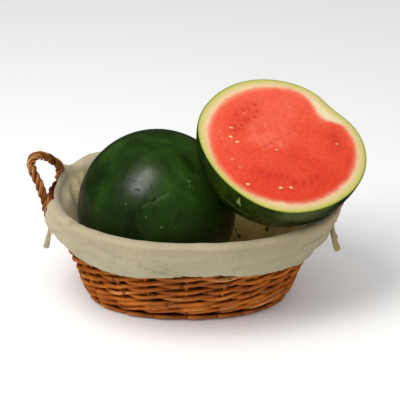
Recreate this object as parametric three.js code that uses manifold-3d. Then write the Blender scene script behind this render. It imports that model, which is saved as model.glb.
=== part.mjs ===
// An oval basket of woven willow, lined with calico that folds over its rim, with one whole
// watermelon and one half watermelon in it. Millimetres, +Z up. The origin is the middle of the
// basket's foot, on the ground; +X runs along the basket's length and -Y is its front.
import * as THREE from 'three';
import { mergeVertices } from 'three/addons/utils/BufferGeometryUtils.js';
import Module from 'manifold-3d';

const wasm = await Module();
wasm.setup();

// ---- driving dimensions ----

const GAP = 0.3;                       // clearance between pieces that touch

const basket = {
  height: 152,
  foot: { halfLength: 146, halfWidth: 93.5, squareness: 2.3 },
  rim: { halfLength: 205.5, halfWidth: 160.5, squareness: 2.27 },
  flare: 1.15,                         // over 1: the wall spreads more towards the rim
  lean: 10.8,                          // the rim sits this much to the right of the foot
  endLift: 5,                          // the rim's two ends stand higher than its sides
  wall: 12,
  floor: 12.9,
};

const weave = {
  stakes: 22,
  rows: 8,
  rowPitch: 13,
  rodRadius: 4.4,
  swing: 2.6,                          // how far a rod moves in and out between two stakes
  wave: 2.4,                           // how far it moves up and down
};

const liner = {
  thickness: 2.4,
  crest: 158.8,
  skirtOffset: 3.6,                    // inside of the skirt, outside the wicker
  hem: 96.5,
  hemWave: 3.8,
  hemRise: 13,                         // the hem is drawn up this much at the two ends
  gather: { left: 7, right: 2 },       // how far the tied corners stand out round the handles
  gatherTurn: { leftBack: 19, other: 14 },  // degrees from an end to a tied corner's middle
  gatherWidth: 6,
};

const rope = { radius: 6.4, tip: 4, lobe: 0.13, strands: 3, turns: 9 };

const whole = {
  radius: 112.6,
  centre: new THREE.Vector3(-43.7, 3.4, 128.7),
  flat: 4.8,                           // depth of the flat where the half leans on it
};

const half = {
  radius: 114,
  centre: new THREE.Vector3(128.4, -44, 252.3),
  faceNormal: new THREE.Vector3(0.214, -0.422, 0.881).normalize(),
  edgeRound: 1.6,
  dent: { angle: 45, width: 15.5, depth: 8, fade: 4 },
  bulges: [                            // where the cut edge lies further out than a circle
    { angle: 0, width: 30, depth: 3.8 },
    { angle: -98, width: 24, depth: 4.6 },
    { angle: 175, width: 22, depth: 3.2 },
  ],
  bulgeFade: 2.9,
};

const seed = { length: 9, width: 5.4, height: 3.2 };

const colours = {
  willow: 0xa8652c,
  calico: 0xd9c9a4,
  rind: 0x1d3a24,
  flesh: 0xd9484a,
};

// ---- shared geometry ----

function material(colour, roughness) {
  return new THREE.MeshStandardMaterial({ color: colour, roughness, metalness: 0 });
}

// A closed three.js geometry as a solid: shared corners merged, collapsed triangles dropped.
function solidFrom(geometry) {
  const bare = geometry.clone();
  bare.deleteAttribute('normal');
  bare.deleteAttribute('uv');
  const merged = mergeVertices(bare, 1e-3);
  const corners = merged.index.array;
  const kept = [];
  for (let i = 0; i < corners.length; i += 3) {
    const [a, b, c] = [corners[i], corners[i + 1], corners[i + 2]];
    if (a !== b && b !== c && c !== a) kept.push(a, b, c);
  }
  const vertProperties = new Float32Array(merged.attributes.position.array);
  if (signedVolume(vertProperties, kept) < 0) kept.reverse();
  return new wasm.Manifold(new wasm.Mesh({
    numProp: 3,
    vertProperties,
    triVerts: new Uint32Array(kept),
  }));
}

function signedVolume(points, corners) {
  const [a, b, c] = [new THREE.Vector3(), new THREE.Vector3(), new THREE.Vector3()];
  let sum = 0;
  for (let i = 0; i < corners.length; i += 3) {
    a.fromArray(points, corners[i] * 3);
    b.fromArray(points, corners[i + 1] * 3);
    c.fromArray(points, corners[i + 2] * 3);
    sum += a.dot(b.cross(c));
  }
  return sum;
}

// Moves every vertex of a geometry to where `place` puts it.
function reshape(geometry, place) {
  const position = geometry.attributes.position;
  const spot = new THREE.Vector3();
  for (let i = 0; i < position.count; i++) {
    spot.fromBufferAttribute(position, i);
    const moved = place(spot.clone(), i);
    position.setXYZ(i, moved.x, moved.y, moved.z);
  }
  return geometry;
}

function meshOf(name, solid, colour, roughness) {
  const { vertProperties, triVerts } = solid.getMesh();
  const geometry = new THREE.BufferGeometry();
  geometry.setAttribute('position', new THREE.BufferAttribute(vertProperties, 3));
  geometry.setIndex(new THREE.BufferAttribute(triVerts, 1));
  geometry.computeVertexNormals();
  const mesh = new THREE.Mesh(geometry, material(colour, roughness));
  mesh.name = name;
  return mesh;
}

// ---- basket ----

function onOval(angle, halfLength, halfWidth, squareness) {
  const c = Math.cos(angle);
  const s = Math.sin(angle);
  return new THREE.Vector2(
    halfLength * Math.sign(c) * Math.abs(c) ** (2 / squareness),
    halfWidth * Math.sign(s) * Math.abs(s) ** (2 / squareness),
  );
}

// A point on the basket's wall at a level, `out` from the wicker's outer face. `spread` below 1
// draws it in towards the middle, as on the floor.
function onWall(angle, level, out, spread = 1) {
  const rise = level / basket.height;
  const flare = Math.max(rise, 0) ** basket.flare;
  const { foot, rim } = basket;
  const oval = onOval(
    angle,
    THREE.MathUtils.lerp(foot.halfLength, rim.halfLength, flare) + out,
    THREE.MathUtils.lerp(foot.halfWidth, rim.halfWidth, flare) + out,
    THREE.MathUtils.lerp(foot.squareness, rim.squareness, rise),
  ).multiplyScalar(spread);
  const along = Math.cos(angle) * spread;
  const lift = rise ** 2 * basket.endLift * along ** 2;
  return new THREE.Vector3(oval.x + basket.lean * rise ** 2, oval.y, level + lift);
}

// Two rods in each row twist round each other, half a turn from stake to stake, so the wall's
// face is the outermost of the two.
function wovenRelief(angle, level) {
  const row = Math.min(Math.floor(level / weave.rowPitch), weave.rows - 1);
  const along = angle * weave.stakes / 2;
  let relief = -weave.rodRadius;
  for (const phase of [0, Math.PI]) {
    const middle = (row + 0.5) * weave.rowPitch + weave.wave * Math.sin(along + phase);
    const across = (level - middle) / weave.rodRadius;
    if (Math.abs(across) < 1) {
      const crown = weave.rodRadius * Math.sqrt(1 - across ** 2) - weave.rodRadius;
      relief = Math.max(relief, weave.swing * Math.cos(along + phase) + crown);
    }
  }
  return relief;
}

// A closed body turned round the oval: the profile starts and ends in the middle.
function turned(profile, columns, place) {
  const outline = profile.map((point) => new THREE.Vector2(point.spread ?? 1, point.level));
  const geometry = new THREE.LatheGeometry(outline, columns);
  return solidFrom(reshape(geometry, (spot, i) => {
    const column = Math.floor(i / profile.length) % columns;
    return place(column * 2 * Math.PI / columns, profile[i % profile.length]);
  }));
}

// Pushes a point out of the half melon's ball, as its weight presses on the rim.
function pressedByHalf(spot, clearance) {
  const away = spot.clone().sub(half.centre);
  const nearest = half.radius + clearance;
  if (away.length() >= nearest) return spot;
  return away.setLength(nearest).add(half.centre);
}

// Levels where the inside of the wall and the cloth on it both bend.
const liningLevels = [40, 75, 110, basket.height - 9];

function wickerBody() {
  const levelsPerRow = 3;
  const columnsPerStake = 3;
  const wovenTop = weave.rows * weave.rowPitch;
  const profile = [{ spread: 0, level: 0 }];
  profile.push({ level: 0, out: -weave.rodRadius });
  for (let i = 1; i < weave.rows * levelsPerRow; i++) {
    profile.push({ level: wovenTop * (i / (weave.rows * levelsPerRow)), woven: true });
  }
  profile.push({ level: wovenTop + 3, out: -3 });
  profile.push({ level: basket.height - 15, out: -3 });
  profile.push({ level: basket.height - 12, out: 0.6 });
  profile.push({ level: basket.height - 7, out: 2.6 });
  profile.push({ level: basket.height - 2, out: 1.2 });
  profile.push({ level: basket.height, out: -4 });
  profile.push({ level: basket.height, out: -basket.wall / 2 });
  profile.push({ spread: 0, level: basket.height });
  const outside = turned(profile, weave.stakes * columnsPerStake, (angle, point) => {
    if (point.spread === 0) return onWall(angle, point.level, 0, 0);
    const out = point.woven ? wovenRelief(angle, point.level) : point.out;
    return pressedByHalf(onWall(angle, point.level, out), liner.thickness + 4);
  });
  const wide = 5 - basket.wall;
  const over = basket.height + 30;
  const cavity = turned([
    { spread: 0, level: basket.floor },
    { level: basket.floor },
    ...liningLevels.map((level) => ({ level })),
    { level: basket.height, out: wide },
    { level: over, out: wide },
    { spread: 0, level: over },
  ], weave.stakes * 2, (angle, point) => {
    const spot = onWall(angle, point.level, point.out ?? -basket.wall, point.spread);
    return point.level === over ? spot : pressedByHalf(spot, liner.thickness + 5);
  });
  return outside.subtract(cavity);
}

// ---- handles ----

// Each handle is a rope of willow rods: its points run from inside the wall at the front, up
// over the loop and back into the wall.
const handleRoutes = {
  left: [
    [-172, -42.5, 100], [-178, -43.5, 113], [-185, -44, 125], [-190.5, -44.5, 137],
    [-193.5, -44.5, 150], [-195.5, -44.5, 165], [-199.5, -43, 180], [-205, -40, 195],
    [-211.5, -33, 206], [-214, -23, 212], [-211.5, -12, 215], [-204.5, -1, 213], [-197, 12, 204],
    [-190.5, 26, 192], [-186, 40, 180.5], [-185, 49, 170], [-187, 54, 158], [-188, 57, 147],
    [-185, 58.5, 133], [-179, 58.5, 117], [-173, 58, 102],
  ],
  right: [
    [180, -42, 100], [187, -43, 114], [195, -43.5, 130], [204, -42.5, 147], [209.5, -38, 158.5],
    [215.5, -30, 168.5], [223, -20, 179.5], [231, -8, 191], [236.5, 6, 200.5], [237, 20, 203.5],
    [230, 34, 195], [218.5, 41, 177], [209, 42.5, 160], [203.5, 43, 146], [195, 43, 130],
    [187, 42.5, 114], [180, 42, 100],
  ],
};

function ropeAlong(route, swell) {
  const sides = 10;
  const steps = 40;
  const curve = new THREE.CatmullRomCurve3(route.map((p) => new THREE.Vector3(...p)));
  const frames = curve.computeFrenetFrames(steps, false);
  const geometry = new THREE.CylinderGeometry(1, 1, steps, sides, steps);
  return solidFrom(reshape(geometry, (spot) => {
    const step = Math.round(spot.y + steps / 2);
    const share = step / steps;
    const round = Math.atan2(spot.z, spot.x);
    const lobes = Math.cos(rope.strands * round - 2 * Math.PI * rope.turns * share);
    const taper = Math.min(1, Math.min(share, 1 - share) / 0.16);
    const thick = THREE.MathUtils.lerp(rope.tip, rope.radius, taper) * (1 + rope.lobe * lobes);
    const reach = Math.hypot(spot.x, spot.z) * (thick + swell);
    const past = step === 0 ? -swell : step === steps ? swell : 0;
    return curve.getPointAt(share)
      .addScaledVector(frames.tangents[step], past)
      .addScaledVector(frames.normals[step], reach * Math.cos(round))
      .addScaledVector(frames.binormals[step], reach * Math.sin(round));
  }));
}

// ---- liner ----

function hemLevel(angle) {
  const front = THREE.MathUtils.degToRad(272);
  const rise = liner.hemRise * Math.abs(Math.cos(angle)) ** 12;
  return liner.hem + liner.hemWave * Math.cos(6 * (angle - front)) + rise;
}

// The skirt's corners stand out where they are drawn round the handles' legs.
function gathered(angle) {
  const onLeft = Math.cos(angle) < 0;
  const reach = onLeft ? liner.gather.left : liner.gather.right;
  const corner = onLeft && Math.sin(angle) > 0 ? liner.gatherTurn.leftBack : liner.gatherTurn.other;
  const fromEnd = THREE.MathUtils.radToDeg(Math.asin(Math.abs(Math.sin(angle))));
  return reach * Math.exp(-(((fromEnd - corner) / liner.gatherWidth) ** 2));
}

// One layer of cloth: over the floor, up the inside, over the rim and down as a skirt. The
// first half of the profile is its upper face and the second half its lower face.
function linerBody() {
  const inside = -(basket.wall + GAP);
  const face = inside - liner.thickness;
  const skirt = liner.skirtOffset;
  const upper = basket.floor + GAP + liner.thickness;
  const profile = [
    { spread: 0, level: upper },
    { level: upper, out: face - 1 },
    ...liningLevels.map((level) => ({ level, out: face })),
    { level: liner.crest - 2, out: -11 },
    { level: liner.crest, out: -5.5 },
    { level: liner.crest - 1.6, out: 0.5 },
    { level: 151, out: skirt + 2, loose: 0.3 },
    { level: 136, out: skirt + 3.2, loose: 1 },
    { level: 120, out: skirt + 3, loose: 1 },
    { hem: true, out: skirt + 3, loose: 0.8 },
    { hem: true, out: skirt + 0.6, loose: 0.8 },
    { level: 120, out: skirt + 0.6, loose: 1 },
    { level: 136, out: skirt + 0.8, loose: 1 },
    { level: 150, out: skirt - 0.2, loose: 0.3 },
    { level: liner.crest - 4, out: -1.2 },
    { level: liner.crest - 2.6, out: -5.5 },
    { level: liner.crest - 4.6, out: -9.6 },
    ...liningLevels.toReversed().map((level) => ({ level, out: inside })),
    { level: basket.floor + GAP, out: inside },
    { spread: 0, level: basket.floor + GAP },
  ];
  return turned(profile, weave.stakes * 2, (angle, point) => {
    const level = point.hem ? hemLevel(angle) : point.level;
    const under = profile.indexOf(point) > profile.length / 2;
    const out = (point.out ?? 0) + (point.loose ?? 0) * gathered(angle);
    const spot = onWall(angle, level, out, point.spread);
    return pressedByHalf(spot, under ? liner.thickness + 1 : 1);
  });
}

// The fold-over is cut away between a handle's legs, so that the rim shows there.
function handleWindow(side) {
  const [low, high] = [132, 180];
  const reach = 60;
  const inner = side < 0 ? -190 : 213;
  const [front, back] = [-36, side < 0 ? 49 : 36];
  const geometry = new THREE.BoxGeometry(reach, back - front, high - low);
  geometry.translate(inner + side * reach / 2, (front + back) / 2, (low + high) / 2);
  return solidFrom(geometry);
}

// ---- ties ----

// Below each handle the skirt's two corners are tied in a knot, whose loose ends hang down.
const tieRoutes = {
  left: {
    knot: [-197.5, -18, 112],
    tails: [
      [[-194, -21, 113], [-194.5, -26, 105], [-197, -29, 95], [-200, -30, 82]],
      [[-194, -14, 112], [-195, -8, 104], [-196, -4, 97], [-197, -2, 91]],
    ],
    width: 9.2,
  },
  right: {
    knot: [208.5, -19, 115],
    tails: [
      [[207.5, -23, 114], [206.5, -27, 106], [208, -30, 94], [212.5, -31, 76.5]],
      [[208, -15, 113], [208, -10, 105], [208, -6, 97], [208, -4, 91]],
    ],
    width: 10,
  },
};

function tailBody(route, width) {
  const thickness = 3;
  const steps = 6;
  const curve = new THREE.CatmullRomCurve3(route.map((p) => new THREE.Vector3(...p)));
  const strip = new THREE.BoxGeometry(width, thickness, steps, 1, 1, steps);
  return solidFrom(reshape(strip, (spot) => {
    const share = 0.5 - spot.z / steps;
    const narrow = THREE.MathUtils.lerp(0.6, 1, share);
    return curve.getPointAt(share).add(new THREE.Vector3(spot.x * narrow, spot.y, 0));
  }));
}

function tieBody({ knot, tails, width }) {
  const ball = new THREE.IcosahedronGeometry(1, 2);
  ball.scale(6, 8, 6);
  ball.translate(...knot);
  return tails.reduce((body, route) => body.add(tailBody(route, width)), solidFrom(ball));
}

// ---- melons ----

const meeting = half.centre.clone().sub(whole.centre);
const meetingWay = meeting.clone().normalize();

// A ball with a flat: its reach along `way`, where the flat lies square to `flatWay`.
function flattened(radius, way, flatWay, flatReach) {
  const facing = way.dot(flatWay);
  return facing > 0.01 ? Math.min(radius, flatReach / facing) : radius;
}

function wholeMelon() {
  const flatReach = whole.radius - whole.flat;
  const ball = new THREE.IcosahedronGeometry(1, 7);
  return solidFrom(reshape(ball, (spot) => {
    const way = spot.normalize();
    const reach = flattened(whole.radius, way, meetingWay, flatReach);
    return way.clone().multiplyScalar(reach).add(whole.centre);
  }));
}

// The half melon's own axes: `across` and `up` lie in its cut face.
const faceAcross = new THREE.Vector3(1, 0, 0)
  .addScaledVector(half.faceNormal, -half.faceNormal.x)
  .normalize();
const faceUp = new THREE.Vector3().crossVectors(half.faceNormal, faceAcross);

function onFace(across, up, height) {
  return half.centre.clone()
    .addScaledVector(faceAcross, across)
    .addScaledVector(faceUp, up)
    .addScaledVector(half.faceNormal, height);
}

function halfDome() {
  const columns = 44;
  const bands = 10;
  const flatReach = meeting.length() - (whole.radius - whole.flat) - GAP;
  const flatWay = meetingWay.clone().negate();
  const profile = [{ spread: 0, level: 0 }, { level: 0, inset: half.edgeRound }];
  for (let band = 0; band < bands; band++) {
    profile.push({ level: band / bands, inset: 0 });
  }
  profile.push({ spread: 0, level: 1 });
  return turned(profile, columns, (angle, point) => {
    if (point.inset === half.edgeRound) {
      const reach = half.radius - half.edgeRound + unevenness(angle, point.level);
      return onFace(reach * Math.cos(angle), reach * Math.sin(angle), 0);
    }
    if (point.spread === 0 && point.level === 0) return onFace(0, 0, 0);
    const below = THREE.MathUtils.lerp(half.edgeRound / half.radius, Math.PI / 2, point.level);
    const way = onFace(
      Math.cos(below) * Math.cos(angle),
      Math.cos(below) * Math.sin(angle),
      -Math.sin(below),
    ).sub(half.centre);
    const reach = flattened(half.radius, way, flatWay, flatReach);
    return way.multiplyScalar(reach + unevenness(angle, point.level)).add(half.centre);
  });
}

// How far the rind lies out from its ball: a knock at the upper right of the cut face and three
// bulges along its edge, all gone some way down the rind.
function unevenness(angle, level) {
  const hump = ({ angle: middle, width, depth }) => {
    const turn = THREE.MathUtils.radToDeg(angle) - middle;
    const off = (THREE.MathUtils.euclideanModulo(turn + 180, 360) - 180) / width;
    return depth * Math.exp(-(off ** 2));
  };
  const out = half.bulges.reduce((sum, bulge) => sum + hump(bulge), 0);
  return out * Math.max(0, 1 - half.bulgeFade * level)
    - hump(half.dent) * Math.max(0, 1 - half.dent.fade * level);
}

// Where pale seeds lie on the cut face, from its middle: turn in degrees and share of radius.
const seedPlaces = [
  [170, 0.63], [-177, 0.63], [-170, 0.56], [141, 0.59], [-121, 0.16], [-94, 0.69],
  [-84, 0.67], [-122, 0.83], [-138, 0.69], [-150, 0.72], [8, 0.68],
];

function halfMelon() {
  let body = halfDome();
  for (const [turn, share] of seedPlaces) {
    const angle = THREE.MathUtils.degToRad(turn);
    const grain = new THREE.IcosahedronGeometry(1, 0);
    const placed = reshape(grain, (spot) => {
      const [along, aside] = [spot.x * seed.length / 2, spot.y * seed.width / 2];
      const out = share * half.radius + along;
      return onFace(
        out * Math.cos(angle) - aside * Math.sin(angle),
        out * Math.sin(angle) + aside * Math.cos(angle),
        spot.z * seed.height / 2,
      );
    });
    body = body.add(solidFrom(placed));
  }
  return body;
}

// ---- assembly ----

const sides = ['left', 'right'];
let wicker = wickerBody();
let cloth = linerBody();
const handles = {};
const ties = {};
for (const side of sides) {
  const sleeve = ropeAlong(handleRoutes[side], GAP);
  wicker = wicker.subtract(sleeve);
  cloth = cloth.subtract(sleeve).subtract(handleWindow(side === 'left' ? -1 : 1));
  handles[side] = ropeAlong(handleRoutes[side], 0);
  ties[side] = tieBody(tieRoutes[side]).subtract(sleeve);
}

const group = new THREE.Group();
group.add(meshOf('basket', wicker, colours.willow, 0.45));
group.add(meshOf('liner', cloth, colours.calico, 0.9));
for (const side of sides) {
  group.add(meshOf(`handle_${side}`, handles[side], colours.willow, 0.45));
  group.add(meshOf(`tie_${side}`, ties[side], colours.calico, 0.9));
}
group.add(meshOf('whole_melon', wholeMelon(), colours.rind, 0.4));
group.add(meshOf('half_melon', halfMelon(), colours.flesh, 0.5));

export default group;
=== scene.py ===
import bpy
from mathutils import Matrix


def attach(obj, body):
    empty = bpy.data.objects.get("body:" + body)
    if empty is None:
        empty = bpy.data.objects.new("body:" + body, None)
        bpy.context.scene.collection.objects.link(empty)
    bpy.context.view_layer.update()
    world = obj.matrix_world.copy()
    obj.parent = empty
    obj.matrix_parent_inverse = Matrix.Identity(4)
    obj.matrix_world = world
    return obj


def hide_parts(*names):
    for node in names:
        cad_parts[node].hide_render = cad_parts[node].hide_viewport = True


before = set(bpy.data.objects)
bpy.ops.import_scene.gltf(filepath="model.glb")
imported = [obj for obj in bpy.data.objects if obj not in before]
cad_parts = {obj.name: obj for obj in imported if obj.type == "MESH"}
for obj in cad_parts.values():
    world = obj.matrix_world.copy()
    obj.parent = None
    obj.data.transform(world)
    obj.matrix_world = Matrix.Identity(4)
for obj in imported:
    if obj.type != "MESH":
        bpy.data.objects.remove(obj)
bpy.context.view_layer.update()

import random
from math import asin, atan2, copysign, cos, degrees, exp, hypot, pi, radians, sin, sqrt, tau

import bmesh
import bpy
from mathutils import Vector, noise

MM = 0.001


# ------------
# Camera. A long lens looks along the basket's short side, a little down on it.
# ------------
aim = Vector((17.5, 0.0, 143.0)) * MM
camera_distance = 1.6
camera_elevation = radians(27.0)
camera_way = Vector((0.0, -cos(camera_elevation), sin(camera_elevation)))

bpy.ops.object.camera_add(
    location=aim + camera_way * camera_distance,
    rotation=(pi / 2 - camera_elevation, 0.0, 0.0),
)
camera = bpy.context.object
camera.name = "camera"
camera.data.lens = 101.6
camera.data.sensor_width = 36.0
camera.data.clip_end = 20.0
bpy.context.scene.camera = camera


# ------------
# Studio. A pale floor under one large soft light above the left front, a wide
# weak one low at the left and a weaker one at the right that glossy skins don't
# mirror, and an even surround that they hardly mirror.
# ------------
surround_strength = 0.66
surround_mirrored = 0.04


def soft_light(name, place, size, power, colour=(1.0, 1.0, 1.0)):
    """A rectangular area light that faces the basket."""
    middle = Vector((0.02, 0.0, 0.14))
    spot = Vector(place)
    bpy.ops.object.light_add(type="AREA", location=spot)
    light = bpy.context.object
    light.name = name
    light.rotation_euler = (middle - spot).to_track_quat("-Z", "Y").to_euler()
    light.data.shape = "RECTANGLE"
    light.data.size, light.data.size_y = size
    light.data.energy = power
    light.data.color = colour
    return light


bpy.ops.mesh.primitive_plane_add(size=12.0, location=(0.0, 0.0, 0.0))
floor = bpy.context.object
floor.name = "studio_floor"
floor_paint = bpy.data.materials.new("studio_floor")
floor_paint.use_nodes = True
floor_inputs = floor_paint.node_tree.nodes["Principled BSDF"].inputs
floor_inputs["Base Color"].default_value = (0.96, 0.96, 0.96, 1.0)
floor_inputs["Roughness"].default_value = 0.9
floor.data.materials.append(floor_paint)
floor.visible_glossy = False

soft_light("key", (-0.60, -0.66, 1.66), (0.62, 1.15), 21.0, (1.0, 0.985, 0.96))
soft_light("left_fill", (-1.5, -0.7, 1.0), (1.2, 1.2), 4.5).visible_glossy = False
soft_light("right_fill", (1.3, -1.2, 0.9), (1.2, 1.2), 2.5).visible_glossy = False

world = bpy.data.worlds.new("studio")
world.use_nodes = True
surround = world.node_tree
seen_by = surround.nodes.new("ShaderNodeLightPath").outputs["Is Glossy Ray"]
dimmed = surround.nodes.new("ShaderNodeMath")
dimmed.operation = "MULTIPLY_ADD"
dimmed.inputs[1].default_value = surround_mirrored - surround_strength
dimmed.inputs[2].default_value = surround_strength
surround.links.new(seen_by, dimmed.inputs[0])
surround.links.new(dimmed.outputs[0], surround.nodes["Background"].inputs["Strength"])
surround.nodes["Background"].inputs["Color"].default_value = (1.0, 1.0, 1.0, 1.0)
bpy.context.scene.world = world
bpy.context.scene.view_settings.view_transform = "Standard"


# ------------
# Basket: stakes. Twenty-two upright willow sticks run from the foot up to the
# rim. They carry the woven rods and are hardly seen, only in the gaps.
# ------------
basket_height = 152.0
foot_half = (146.0, 93.5)
rim_half = (205.5, 160.5)
foot_squareness = 2.3
rim_squareness = 2.27
wall_flare = 1.15
rim_lean = 10.8
end_lift = 5.0
stake_count = 22
stake_radius = 2.3
stake_foot = 5.0
stake_length = basket_height - 9.0
stake_steps = 16
stake_clearance = 9.0
stake_out = -6.4
stake_shift = radians(6.4)
half_centre = Vector((128.4, -44.0, 252.3))
half_radius = 114.0


def mix(a, b, share):
    return a + (b - a) * share


def clamp(value, low=0.0, high=1.0):
    return min(high, max(low, value))


def on_wall(turn, level, out=0.0, spread=1.0):
    """A point of the basket's wall in millimetres: turn in radians, level above the ground, and
    out from the wicker's outer face. A spread under 1 draws it towards the middle."""
    rise = level / basket_height
    flare = max(rise, 0.0) ** wall_flare
    squareness = mix(foot_squareness, rim_squareness, rise)
    length = mix(foot_half[0], rim_half[0], flare) + out
    width = mix(foot_half[1], rim_half[1], flare) + out
    c, s = cos(turn), sin(turn)
    x = length * copysign(abs(c) ** (2 / squareness), c) * spread
    y = width * copysign(abs(s) ** (2 / squareness), s) * spread
    lift = rise * rise * end_lift * (c * spread) ** 2
    return Vector((x + rim_lean * rise * rise, y, level + lift))


def clear_of(spot, middle, nearest):
    """Moves a point straight out from a middle till it is at least so far from it."""
    away = spot - middle
    return spot if away.length >= nearest else middle + away.normalized() * nearest


def clear_of_half(spot, clearance):
    return clear_of(spot, half_centre, half_radius + clearance)


def way_at(path, i, closed=False):
    """Which way a path runs at one of its points."""
    if closed:
        return (path[(i + 1) % len(path)] - path[i - 1]).normalized()
    return (path[min(i + 1, len(path) - 1)] - path[max(i - 1, 0)]).normalized()


def square_to(way, last):
    """A direction square to a path: the last one carried on, or any at the path's start."""
    if last is None:
        return way.orthogonal().normalized()
    return (last - way * last.dot(way)).normalized()


def swung(a, b, angle):
    """The direction that lies at an angle from a towards b."""
    return a * cos(angle) + b * sin(angle)


def tube_mesh(bm, uv_layer, tone_layer, path, radius, sides, tone, closed):
    """Adds a rod along a path, in millimetres, to a mesh. Its radius and tone may change along
    it. Its UV runs along it and round it, in metres and turns."""
    count = len(path)
    radii = radius if isinstance(radius, list) else [radius] * count
    tones = tone if isinstance(tone, list) else [tone] * count
    rings = []
    lengths = [0.0]
    normal = None
    for i, spot in enumerate(path):
        way = way_at(path, i, closed)
        normal = square_to(way, Vector((0, 0, 1)) if closed else normal)
        side = way.cross(normal)
        ring = []
        for k in range(sides):
            vert = bm.verts.new((spot + swung(normal, side, tau * k / sides) * radii[i]) * MM)
            vert[tone_layer] = tones[i]
            ring.append(vert)
        rings.append(ring)
        if i:
            lengths.append(lengths[-1] + (spot - path[i - 1]).length)
    for i in range(count if closed else count - 1):
        j = (i + 1) % count
        start = lengths[i] * MM
        end = (lengths[j] if j else lengths[-1] + (path[0] - path[-1]).length) * MM
        for k in range(sides):
            m = (k + 1) % sides
            face = bm.faces.new((rings[i][k], rings[i][m], rings[j][m], rings[j][k]))
            face.smooth = True
            low, high = k / sides, (k + 1) / sides
            for loop, corner in zip(face.loops, ((start, low), (start, high), (end, high), (end, low))):
                loop[uv_layer].uv = corner
    if not closed:
        for ring, at in ((rings[0][::-1], 0.0), (rings[-1], lengths[-1] * MM)):
            cap = bm.faces.new(ring)
            cap.smooth = False
            for loop in cap.loops:
                loop[uv_layer].uv = (at, 0.5)


def object_from(bm, name):
    """A new object from a finished mesh, its faces turned outwards."""
    bmesh.ops.recalc_face_normals(bm, faces=bm.faces[:])
    mesh = bpy.data.meshes.new(name)
    bm.to_mesh(mesh)
    bm.free()
    piece = bpy.data.objects.new(name, mesh)
    bpy.context.collection.objects.link(piece)
    return piece


def rod_piece(name, rods, material):
    """One object from many rods: each is (path, radius, sides, tone, closed)."""
    bm = bmesh.new()
    uv_layer = bm.loops.layers.uv.new("UVMap")
    tone_layer = bm.verts.layers.float.new("tone")
    for rod in rods:
        tube_mesh(bm, uv_layer, tone_layer, *rod)
    piece = object_from(bm, name)
    piece.data.materials.append(material)
    return piece


def plug(socket, value):
    """Links a socket to an input, or sets a plain value there."""
    if isinstance(value, bpy.types.NodeSocket):
        socket.id_data.links.new(value, socket)
    else:
        socket.default_value = value


def feed(made, **values):
    """Sets a shader node's inputs, named with _ for a space."""
    for name, value in values.items():
        plug(made.inputs[name.replace("_", " ")], value)
    return made


def node(beside, kind, inputs, **properties):
    """A shader node in the same tree as a socket, with its inputs and its properties."""
    made = beside.id_data.nodes.new("ShaderNode" + kind)
    for name, value in properties.items():
        setattr(made, name, value)
    return feed(made, **inputs)


def ramp(factor, *stops):
    """A colour ramp from (position, colour or grey) stops, fed by a socket."""
    made = node(factor, "ValToRGB", {"Fac": factor})
    elements = made.color_ramp.elements
    while len(elements) < len(stops):
        elements.new(0.5)
    for element, (position, colour) in zip(elements, stops):
        element.position = position
        element.color = (*colour, 1.0) if isinstance(colour, tuple) else (colour, colour, colour, 1.0)
    return made.outputs["Color"]


def mixed(factor, a, b, blend="MIX"):
    """A colour mix of a socket with another one or a colour, by a socket or a number."""
    made = node(a, "Mix", {}, data_type="RGBA", blend_type=blend)
    for name, value in (("Factor", factor), ("A", a), ("B", b)):
        socket = next(s for s in made.inputs if s.name == name and s.enabled)
        plug(socket, (*value, 1.0) if isinstance(value, tuple) else value)
    return next(s for s in made.outputs if s.enabled)


def tinted(share, colour, factor, *stops):
    """A colour multiplied by a ramp, to a share."""
    return mixed(share, colour, ramp(factor, *stops), "MULTIPLY")


def math_node(operation, *values, kind="Math", **properties):
    """A math node on a socket and more sockets, numbers or vectors."""
    made = node(values[0], kind, {}, operation=operation, **properties)
    for socket, value in zip(made.inputs, values):
        plug(socket, value)
    return next(s for s in made.outputs if s.enabled)


def scaled(value, by, plus=0.0, clamped=False):
    return math_node("MULTIPLY_ADD", value, by, plus, use_clamp=clamped)


def noise_node(vector, scale, detail=2.0, roughness=0.5, distortion=0.0):
    """A noise texture on a vector socket; gives its height."""
    return node(vector, "TexNoise", {
        "Vector": vector, "Scale": scale, "Detail": detail, "Roughness": roughness,
        "Distortion": distortion,
    }).outputs["Fac"]


def painted(beside, name):
    """A value that the piece's own mesh carries, as a socket."""
    return node(beside, "Attribute", {}, attribute_name=name).outputs["Fac"]


def mapped(vector, **inputs):
    """A vector socket moved, turned or stretched."""
    return node(vector, "Mapping", {"Vector": vector, **inputs}).outputs["Vector"]


def relief(height, strength, distance, **under):
    """Small relief from a height socket, over other relief where Normal gives it."""
    inputs = {"Height": height, "Strength": strength, "Distance": distance, **under}
    return node(height, "Bump", inputs).outputs["Normal"]


def new_material(name):
    """A material, its shader, and a socket with the place on the piece."""
    made = bpy.data.materials.new(name)
    made.use_nodes = True
    shader = made.node_tree.nodes["Principled BSDF"]
    return made, shader, node(shader, "TexCoord", {}).outputs["Object"]


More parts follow.
